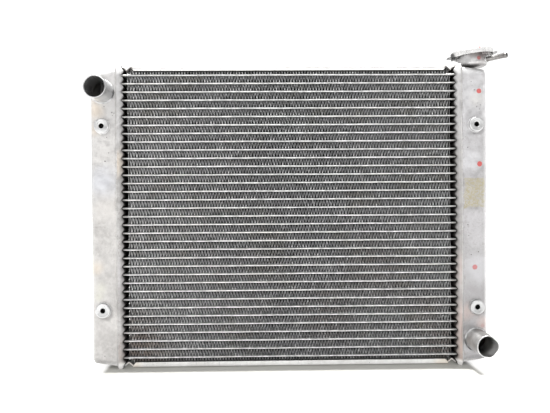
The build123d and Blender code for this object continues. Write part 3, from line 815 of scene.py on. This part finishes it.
def header_ring(outline, sign, x, inset, wave):
    """The outline moved in by inset, at x; wave is the strength of the ribs."""
    r = max(0.6, HEADER_CORNER - inset)
    half_y, half_z = HEADER_Y - inset, HEADER_Z - inset
    straight_y, straight_z = HEADER_Y - HEADER_CORNER, HEADER_Z - HEADER_CORNER
    points = []
    for y, z in outline:
        if abs(y) > straight_y and abs(z) > straight_z:
            angle = math.atan2(abs(z) - straight_z, abs(y) - straight_y)
            new_y = math.copysign(half_y - r + r * math.cos(angle), y)
            new_z = math.copysign(half_z - r + r * math.sin(angle), z)
        else:
            new_y = y / HEADER_Y * half_y
            new_z = z
            if abs(z) >= HEADER_Z - 1e-6:
                new_z = math.copysign(half_z, z)
            elif abs(z) > half_z - r:
                new_z = math.copysign(half_z - r + (abs(z) - (half_z - r)) * 0.5, z)
        depth = wave * rib(new_z) * (VALLEY - APEX)
        depth *= np.clip((163.0 - abs(new_z)) / 2.0, 0, 1)
        points.append((sign * (x - depth), CORE_Y + new_y, CORE_Z + new_z))
    return points


def header(sign, side):
    outline = rounded_rect(HEADER_Y, HEADER_Z, HEADER_CORNER, step=PITCH / 8.0, corner=6)
    n = len(outline)
    # the core side, from the rim round the bend to the middle of the web: x, inset, wave
    outer = [(RIM, 0.05, 0.0), (RIM - 0.15, 0.0, 0.0), (VALLEY + HEADER_BEND + 0.3, 0.0, 0.0)]
    for degrees in (0, 18, 36, 54, 72, 90):
        c, s = cos_sin(degrees)
        outer.append((VALLEY + HEADER_BEND * (1 - s), HEADER_BEND * (1 - c),
                      (0.05 + 0.95 * s) * (0.35 + 0.65 * s)))
    outer += [(VALLEY, inset, 1.0) for inset in (3.6, 6.0, 9.5, 14.0, 18.0, 21.5)]
    # the tank side, from the middle back out to the rim
    inner = [(VALLEY + HEADER_T + 0.4, inset, 1.0) for inset in (21.5, 14.0, 6.0, 3.9)]
    inner += [(VALLEY + HEADER_T + 1.8, HEADER_T + 0.1, 0.3), (RIM - 0.15, HEADER_T, 0.0),
              (RIM, HEADER_T - 0.05, 0.0)]
    mesh = Mesh()
    flip = sign < 0
    for stations in (outer, inner):
        mesh.loft([header_ring(outline, sign, *station) for station in stations], flip=flip)
    mesh.join(len(mesh.verts) - n, 0, n, flip)
    # close the web's two faces: each point at the back pairs with its mirror at the front
    back = sorted((j for j in range(n) if outline[j][0] >= 0),
                  key=lambda j: (outline[j][1], -outline[j][0]))
    front = [j for j in range(n) if outline[j][0] < 0]
    mirror = {j: min(front, key=lambda q: abs(outline[q][0] + outline[j][0])
                     + abs(outline[q][1] - outline[j][1])) for j in back}
    for ring, flip_web in ((len(outer) - 1, flip), (len(outer), not flip)):
        base = ring * n
        for j in back:
            k = (j + 1) % n
            if k in mirror and mirror[j] != mirror[k]:
                mesh.face((base + j, base + k, base + mirror[k], base + mirror[j]), flip_web)
    mesh.build(f"header_plate_{side}", header_metal, "header_aluminium", angle=38,
               replaces=f"{side}_header")


header(1, "right")
header(-1, "left")

# ------------------------------------------------------------------ side plates
# Folded channels above and below the core, with a V fold in each end tongue.
WEB_IN, WEB_OUT = 162.9, 164.4    # the web's faces, from the middle of the core
PLATE_Y = 17.3                    # half width
FLANGE_T = 1.2
FLANGE_H = 5.0
BEND_OUT, BEND_IN = 1.3, 0.35     # radii
LIP_SIDE, LIP_UP = 0.08, 0.12     # bevel of the flange's edge
TONGUE_Y = 12.0
# the tongue's middle line: distance from the middle along x, depth below the web's middle
TONGUE_LINE = (
    (168.0, 0), (173.9, 0), (174.7, 0.25), (175.3, 0.75), (177.7, 2.85), (178.25, 3.2),
    (178.6, 3.3), (178.95, 3.2), (179.5, 2.85), (181.9, 0.75), (182.5, 0.25), (183.3, 0),
    (187.2, 0))


def channel_outline(height):
    """Outline of the channel: y, and distance from the core's middle."""
    low = WEB_OUT - height
    inner_y = PLATE_Y - FLANGE_T
    outer = [(PLATE_Y - LIP_SIDE, low), (PLATE_Y, low + LIP_UP)]
    for degrees in np.linspace(0, 90, 6):
        c, s = cos_sin(degrees)
        outer.append((PLATE_Y - BEND_OUT + BEND_OUT * c, WEB_OUT - BEND_OUT + BEND_OUT * s))
    inner = [(inner_y + LIP_SIDE, low), (inner_y, low + LIP_UP)]
    for degrees in np.linspace(0, 90, 4):
        c, s = cos_sin(degrees)
        inner.append((inner_y - BEND_IN + BEND_IN * c, WEB_IN - BEND_IN + BEND_IN * s))
    return ([(-y, v) for y, v in outer] + [(y, WEB_OUT) for y in (-11, -5, 0, 5, 11)]
            + outer[::-1] + inner + [(y, WEB_IN) for y in (8, 0, -8)]
            + [(-y, v) for y, v in inner[::-1]])


def add_tongue(mesh, end, sign):
    middle = (WEB_IN + WEB_OUT) / 2
    half = (WEB_OUT - WEB_IN) / 2 - 0.01
    line = np.array([(x, middle - depth) for x, depth in TONGUE_LINE])
    slope = np.gradient(line, axis=0)
    normals = np.stack([-slope[:, 1], slope[:, 0]], 1)
    normals /= np.linalg.norm(normals, axis=1)[:, None]
    ys = (-TONGUE_Y, 0.3 - TONGUE_Y, TONGUE_Y - 0.3, TONGUE_Y)
    rings = []
    for point, normal in zip(line, normals):
        top, bottom = point + normal * half, point - normal * half
        top[1] = min(top[1], WEB_OUT - 0.01)
        top_edge, bottom_edge = top * 0.8 + bottom * 0.2, bottom * 0.8 + top * 0.2
        section = list(zip(ys, (top_edge, top, top, top_edge)))
        section += zip(ys[::-1], (bottom_edge, bottom, bottom, bottom_edge))
        rings.append([(end * p[0], CORE_Y + y, CORE_Z + sign * p[1]) for y, p in section])
    mesh.loft(rings, caps=True, flip=end * sign > 0)


def side_plate(sign, side):
    tip = [170.2, 171.2, 172.2, 173.2]          # the flanges taper over these
    rings = []
    for x in [-x for x in tip[::-1]] + list(np.linspace(-165, 165, 45)) + tip:
        taper = np.clip((abs(x) - tip[0]) / 3.0, 0, 1)
        rings.append([(x, CORE_Y + y, CORE_Z + sign * v)
                      for y, v in channel_outline(FLANGE_H - taper * 3.45)])
    mesh = Mesh()
    mesh.loft(rings, caps=True, flip=sign < 0)
    for end in (-1, 1):
        add_tongue(mesh, end, sign)
    mesh.build(f"side_plate_{side}", plate_metal, "side_plate_aluminium", angle=35,
               replaces=f"{side}_side_plate")


def stamped_rib(sign, side):
    """Small oval rib on the plate's front flange, near the left end."""
    x_middle, half_length, r = -149.0, 7.6, 1.15
    rings = []
    # scale of the round ends, y
    for scale, dy in ((1.0, 0.05), (1.0, -0.02), (0.93, -0.08), (0.86, -0.10),
                      (0.80, -0.07), (0.72, -0.05)):
        ring = []
        for k in range(40):
            c, s = math.cos(2 * math.pi * k / 40), math.sin(2 * math.pi * k / 40)
            end = math.copysign(half_length - r, c) if abs(c) > 1e-6 else 0
            ring.append((x_middle + end + r * c * scale, 9.2 + dy,
                         CORE_Z + sign * 161.6 + r * s * scale))
        rings.append(ring)
    mesh = Mesh()
    mesh.loft(rings, caps=True)
    mesh.build(f"stamped_rib_{side}", plate_metal, "side_plate_aluminium")


for part in (side_plate, stamped_rib):
    part(1, "top")
    part(-1, "bottom")

# ------------------------------------------------------------------ hose stubs
STUB_R, STUB_BORE = 12.0, 10.8
STUB_ROOT = 2.3                   # how far it reaches into the tank
NICK_ANGLE = math.radians(-100)
NICK_REACH = 0.30                 # half width of the nick, radians
NICK_DEPTH = 3.0


def hose_stub(side, material, seed, damaged):
    """A pipe forward from the tank's face; the damaged one is squeezed and nicked."""
    node = side + "_pipe"
    x, _, z = centre_mm(node)
    length = FACE_Y - box_mm(node)[0][1]
    r, bore = STUB_R, STUB_BORE
    profile = [
        (-STUB_ROOT, 11.36), (0.0, 11.36), (0.02, r), (1.2, r), (length * 0.35, r),
        (length * 0.62, r), (length - 6.0, r), (length - 3.0, r - 0.02), (length - 1.0, r),
        (length - 0.35, r - 0.05), (length - 0.1, r - 0.22), (length, r - 0.55),
        (length - 0.08, bore + 0.28), (length - 0.35, bore + 0.06), (length - 1.2, bore),
        (length - 6.0, bore), (length * 0.5, bore), (-STUB_ROOT, bore)]

    def bent(along, radius, angle):
        """Slightly oval, more so towards the mouth."""
        share = max(0.0, (along - length * 0.3) / (length * 0.7))
        scale = 1.0 - share * 0.012 * (1 + math.cos(2 * angle + 0.7))
        nick = 0.0
        if damaged:
            # two dents squeeze the mouth on its outer side: depth, angle, width
            turn = (angle + math.pi) % (2 * math.pi) - math.pi
            for depth, middle, width in ((0.115, 48, 26), (0.085, -40, 22)):
                off = (turn - math.radians(middle)) / math.radians(width)
                scale -= share * share * depth * math.exp(-off ** 2)
            away = abs((angle - NICK_ANGLE + math.pi) % (2 * math.pi) - math.pi)
            if away < NICK_REACH and along > length - NICK_DEPTH:
                nick = math.cos(away / NICK_REACH * math.pi / 2)
                nick *= (along - (length - NICK_DEPTH)) / NICK_DEPTH
        return along - 0.9 * nick, radius * scale - 0.35 * nick

    name = "hose_stub_" + side
    lathe(x, z, profile, 96, bent).build(name, material, "pipe_aluminium", angle=50,
                                         replaces=node)
    weld(name + "_weld", circle(x, FACE_Y - 0.35, z, STUB_R + 0.2, 96), root_metal,
         "pipe_aluminium", radius=1.15, ripple=0.22, seed=seed, squash=0.95,
         ripple_length=1.9, limit=(0, -215.95, 215.95))


hose_stub("inlet", inlet_metal, seed=31, damaged=False)
hose_stub("outlet", outlet_metal, seed=37, damaged=True)


# ------------------------------------------------------------------ threaded bosses
def boss(node):
    x, _, z = centre_mm(node)
    # the outside and its rounded front edge
    profile = [(-7.4, 5.75), (0.0, 5.75), (0.0, 8.0), (3.6, 8.0), (4.6, 7.97)]
    for degrees in (15, 35, 55, 75, 90):
        c, s = cos_sin(degrees)
        profile.append((4.5 + s, 7.0 + c))
    # a turned face with a faint step, then the countersink
    profile += [(5.5, 6.2), (5.44, 6.05), (5.44, 3.95), (5.40, 3.5), (5.30, 3.32), (4.75, 2.72)]
    # the thread, 1 mm pitch
    for turn in range(10):
        profile += [(4.6 - turn, 2.78), (4.6 - turn - 0.42, 2.36)]
    profile += [(-5.0, 2.4), (-5.6, 0.12), (-7.4, 0.1)]
    lathe(x, z, profile, 64).build("mount_" + node, boss_metal, "boss_aluminium", angle=35,
                                   replaces=node)
    weld("weld_" + node, circle(x, FACE_Y - 0.12, z, 8.05, 72), weld_metal, "boss_aluminium",
         radius=0.62, ripple=0.2, seed=int(abs(x) + z + 300), squash=0.9, ripple_length=1.3)


for side in ("left", "right"):
    boss("boss_upper_" + side)
    boss("boss_lower_" + side)


# ------------------------------------------------------------------ weld beads
def seam_weld(sign, side):
    """Bead round the joint of tank and header, kept inside the header's height."""
    loop = rounded_rect(21.45, 164.0, 4.8, step=3.0, corner=8)
    weld(f"seam_weld_{side}", [(sign * 188.4, CORE_Y + y, CORE_Z + z) for y, z in loop],
         seam_metal, "header_aluminium", radius=1.15, ripple=0.16, seed=71 + sign,
         squash=0.9, ripple_length=2.0, limit=(2, CORE_Z - 165.9, CORE_Z + 165.9))


seam_weld(1, "right")
seam_weld(-1, "left")

# the neck leans: its axis, a point on it, and two directions across it
NECK_AXIS = np.array([-0.121869, 0.0, 0.992546])
NECK_POINT = np.array([206.2, 26.5, 182.7])
NECK_SIDE = np.array([NECK_AXIS[2], 0.0, -NECK_AXIS[0]])
NECK_BACK = np.array([0.0, 1.0, 0.0])
NECK_R = 16.0
NIPPLE_R = 3.1


def neck_direction(angle):
    return NECK_SIDE * math.cos(angle) + NECK_BACK * math.sin(angle)


def nipple_path():
    """Where the overflow nipple meets the neck's round wall."""
    out = neck_direction(math.radians(-40.0))
    side = np.cross(out, NECK_AXIS)
    centre = NECK_POINT + NECK_AXIS * -11.0
    path = []
    for a in full_turn(60):
        lateral = math.cos(a) * NIPPLE_R
        reach = math.sqrt(NECK_R ** 2 - lateral ** 2) + 0.15
        path.append(centre + out * reach + side * lateral + NECK_AXIS * math.sin(a) * NIPPLE_R)
    return path


weld("neck_root_weld",
     [(204.5 + 6.3 * math.cos(a), CORE_Y + 6.3 * math.sin(a), 163.1 + 0.12 * math.cos(a))
      for a in full_turn(72)],
     weld_metal, "neck_aluminium", radius=1.0, ripple=0.2, seed=5, squash=1.0,
     ripple_length=1.6)
weld("nipple_weld", nipple_path(), weld_metal, "neck_aluminium",
     radius=0.75, ripple=0.25, seed=8, squash=1.0, ripple_length=1.3)
bung_x, _, bung_z = centre_mm("drain_bung")
weld("bung_weld", circle(bung_x, 47.75, bung_z, 9.1, 80), weld_metal, "neck_aluminium",
     radius=0.95, ripple=0.2, seed=15, squash=0.95, ripple_length=1.7)


# ------------------------------------------------------------------ springs
def spring(name, radius, wire, bottom, top, turns, material, body, slot, node,
           sides=12, steps=30):
    """A coil on the neck's axis that shortens by travel, about its fixed end, with joint.

    bottom and top are distances along the axis from NECK_POINT.
    """
    flat = 0.55                   # the part of a turn that lies flat at each end
    rings = []
    for k in range(int(turns * steps) + 1):
        turn = k / steps
        climb = min(1.0, max(0.0, (turn - flat) / (turns - 2 * flat)))
        out = neck_direction(2 * math.pi * turn)
        along = bottom + wire / 2 + (top - bottom - wire) * climb
        middle = NECK_POINT + NECK_AXIS * along + out * radius
        # the ends taper, as a ground spring's do
        r = wire / 2 * min(1.0, 0.55 + 0.45 * min(turn, turns - turn) / 0.25)
        rings.append([middle + out * (r * math.cos(2 * math.pi * j / sides))
                      + NECK_AXIS * (r * math.sin(2 * math.pi * j / sides))
                      for j in range(sides)])
    mesh = Mesh()
    mesh.loft(rings, caps=True, flip=True)
    obj = mesh.build(name, material, slot, angle=60, body=body, replaces=node)
    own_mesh(obj)


spring("pressure_spring_coil", radius=10.6, wire=1.5, bottom=-12.3, top=0.35, turns=4.5,
       material=inner_metal, body="cap_core", slot="cap_inner_steel",
       node="pressure_spring")
spring("vacuum_spring_coil", radius=1.6, wire=0.35, bottom=-12.35, top=-9.75, turns=3.0,
       material=brass, body="pressure_valve", slot="valve_brass",
       node="vacuum_spring",
       sides=8, steps=20)

# ------------------------------------------------------------------ finishes for the CAD pieces
CAD_FINISHES = {
    "left_tank": tank_left, "right_tank": tank_right, "filler_neck": neck_metal,
    "overflow_nipple": nipple_metal, "drain_bung": neck_metal, "cap_shell": cap_metal,
    "cap_rivet": inner_metal, "cap_diaphragm": inner_metal, "cap_bell": inner_metal,
    "cap_top_seal": rubber, "pressure_seal": rubber, "drain_washer": rubber,
    "pressure_plate": brass, "vacuum_valve": brass, "drain_plug": brass}
for node, material in CAD_FINISHES.items():
    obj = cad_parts.get(node)
    if obj is None:
        continue
    if not obj.material_slots:
        obj.data.materials.append(material)
    for slot in obj.material_slots:
        slot.material = material


# ------------------------------------------------------------------ floor
def floor_material():
    """White floor that glows more with distance, so it runs into the backdrop."""
    m = Material("floor_white")
    seen = m.out("LightPath", {}, "Is Camera Ray")
    seen_colour = m.mix(m.noise(3.0, 2.0), (0.455, 0.452, 0.425), (0.47, 0.467, 0.44))
    m.base = m.mix(seen, (0.33, 0.33, 0.325), seen_colour)
    m.rough, m.metal, m.spec = 0.8, 0.0, 0.1
    distance = m.out("VectorMath", {0: m.coord}, "Value", operation="LENGTH")
    # the camera also sees a glow past the radiator's two ends, painted light that fades out the
    # ends of the shadow
    side = m.math("ABSOLUTE", m.math("ADD", m.xyz()[0], 0.002))
    glow = m.most(m.rise(distance, 0.26, 0.75, 0.02, 0.95),
                  m.rise(side, 0.1960, 0.2050, high=0.85))
    # what other rays see: a glow that lights the radiator from below, painted bounce light from
    # the floor
    bounce = m.rise(distance, 0.26, 0.75, 0.46, 0.95)
    glow = m.math("ADD", m.times(seen, glow), m.times(m.inverse(seen), bounce))
    return m.finish(m.bump(m.noise(300, 2.0), 0.02, distance=0.0005), glow=glow)


def make_floor():
    """A square grid just below the headers, in metres."""
    half, n = 9.0, 24
    z = box_mm("right_header")[0][2] * MM - 0.0001
    data = bpy.data.meshes.new("floor")
    row = n + 1
    data.from_pydata(
        [(-half + 2 * half * i / n, -half + 2 * half * j / n, z)
         for j in range(row) for i in range(row)], [],
        [(j * row + i, j * row + i + 1, (j + 1) * row + i + 1, (j + 1) * row + i)
         for j in range(n) for i in range(n)])
    floor = bpy.data.objects.new("floor", data)
    bpy.context.scene.collection.objects.link(floor)
    data.materials.append(floor_material())


make_floor()


# ------------------------------------------------------------------ world, lights and camera
def make_world():
    """Flat white to the camera; as light, brighter upwards and towards the two x ends."""
    world = bpy.data.worlds.new("studio")
    bpy.context.scene.world = world
    world.use_nodes = True
    w = Nodes(world.node_tree, "Generated")
    x, _, z = w.add("SeparateXYZ", {0: w.coord}).outputs
    upwards = w.out("MapRange", {"Value": z, "From Min": 0.0, "From Max": 1.0,
                                 "To Min": 0.44, "To Max": 0.80})
    sideways = w.math("POWER", w.math("ABSOLUTE", x), 2.5)
    strength = w.math("MULTIPLY_ADD", sideways, 0.42, upwards)
    light = w.out("Background", {"Color": (1, 1, 1), "Strength": strength})
    backdrop = w.out("Background", {"Color": (1, 1, 1), "Strength": 1.15})
    seen = w.out("LightPath", {}, "Is Camera Ray")
    w.add("OutputWorld", {"Surface": w.out("MixShader", {0: seen, 1: light, 2: backdrop})})


def softbox(name, place, target, width, height, power):
    data = bpy.data.lights.new(name, "AREA")
    data.shape = "RECTANGLE"
    data.size = width
    data.size_y = height
    data.energy = power
    obj = bpy.data.objects.new(name, data)
    bpy.context.scene.collection.objects.link(obj)
    obj.location = place
    direction = Vector(target) - Vector(place)
    obj.rotation_euler = direction.to_track_quat("-Z", "Y").to_euler()


def make_camera():
    data = bpy.data.cameras.new("camera")
    camera = bpy.data.objects.new("camera", data)
    bpy.context.scene.collection.objects.link(camera)
    data.sensor_width = 36.0
    data.lens = 48.21
    data.clip_start = 0.01
    right = (0.99972214, -0.02239687, -0.00735012)
    up = (0.00748731, 0.00604803, 0.99995368)
    forward = (0.02235138, 0.99973086, -0.00621404)
    place = (-0.03476, -0.79849, 0.01653)
    rows = [(r, u, -f, p) for r, u, f, p in zip(right, up, forward, place)]
    camera.matrix_world = Matrix(rows + [(0, 0, 0, 1)])
    bpy.context.scene.camera = camera


make_world()
softbox("overhead", place=(0.03, 0.26, 4.0), target=(0.0, 0.03, -0.16),
        width=1.0, height=0.10, power=520)
softbox("front_top", place=(-0.25, -1.60, 1.25), target=(0.0, 0.0, 0.0),
        width=1.6, height=0.7, power=13)
make_camera()
view = bpy.context.scene.view_settings
view.view_transform = "Standard"
view.look = "None"
view.exposure = 0.0
view.gamma = 1.0

bpy.context.view_layer.update()
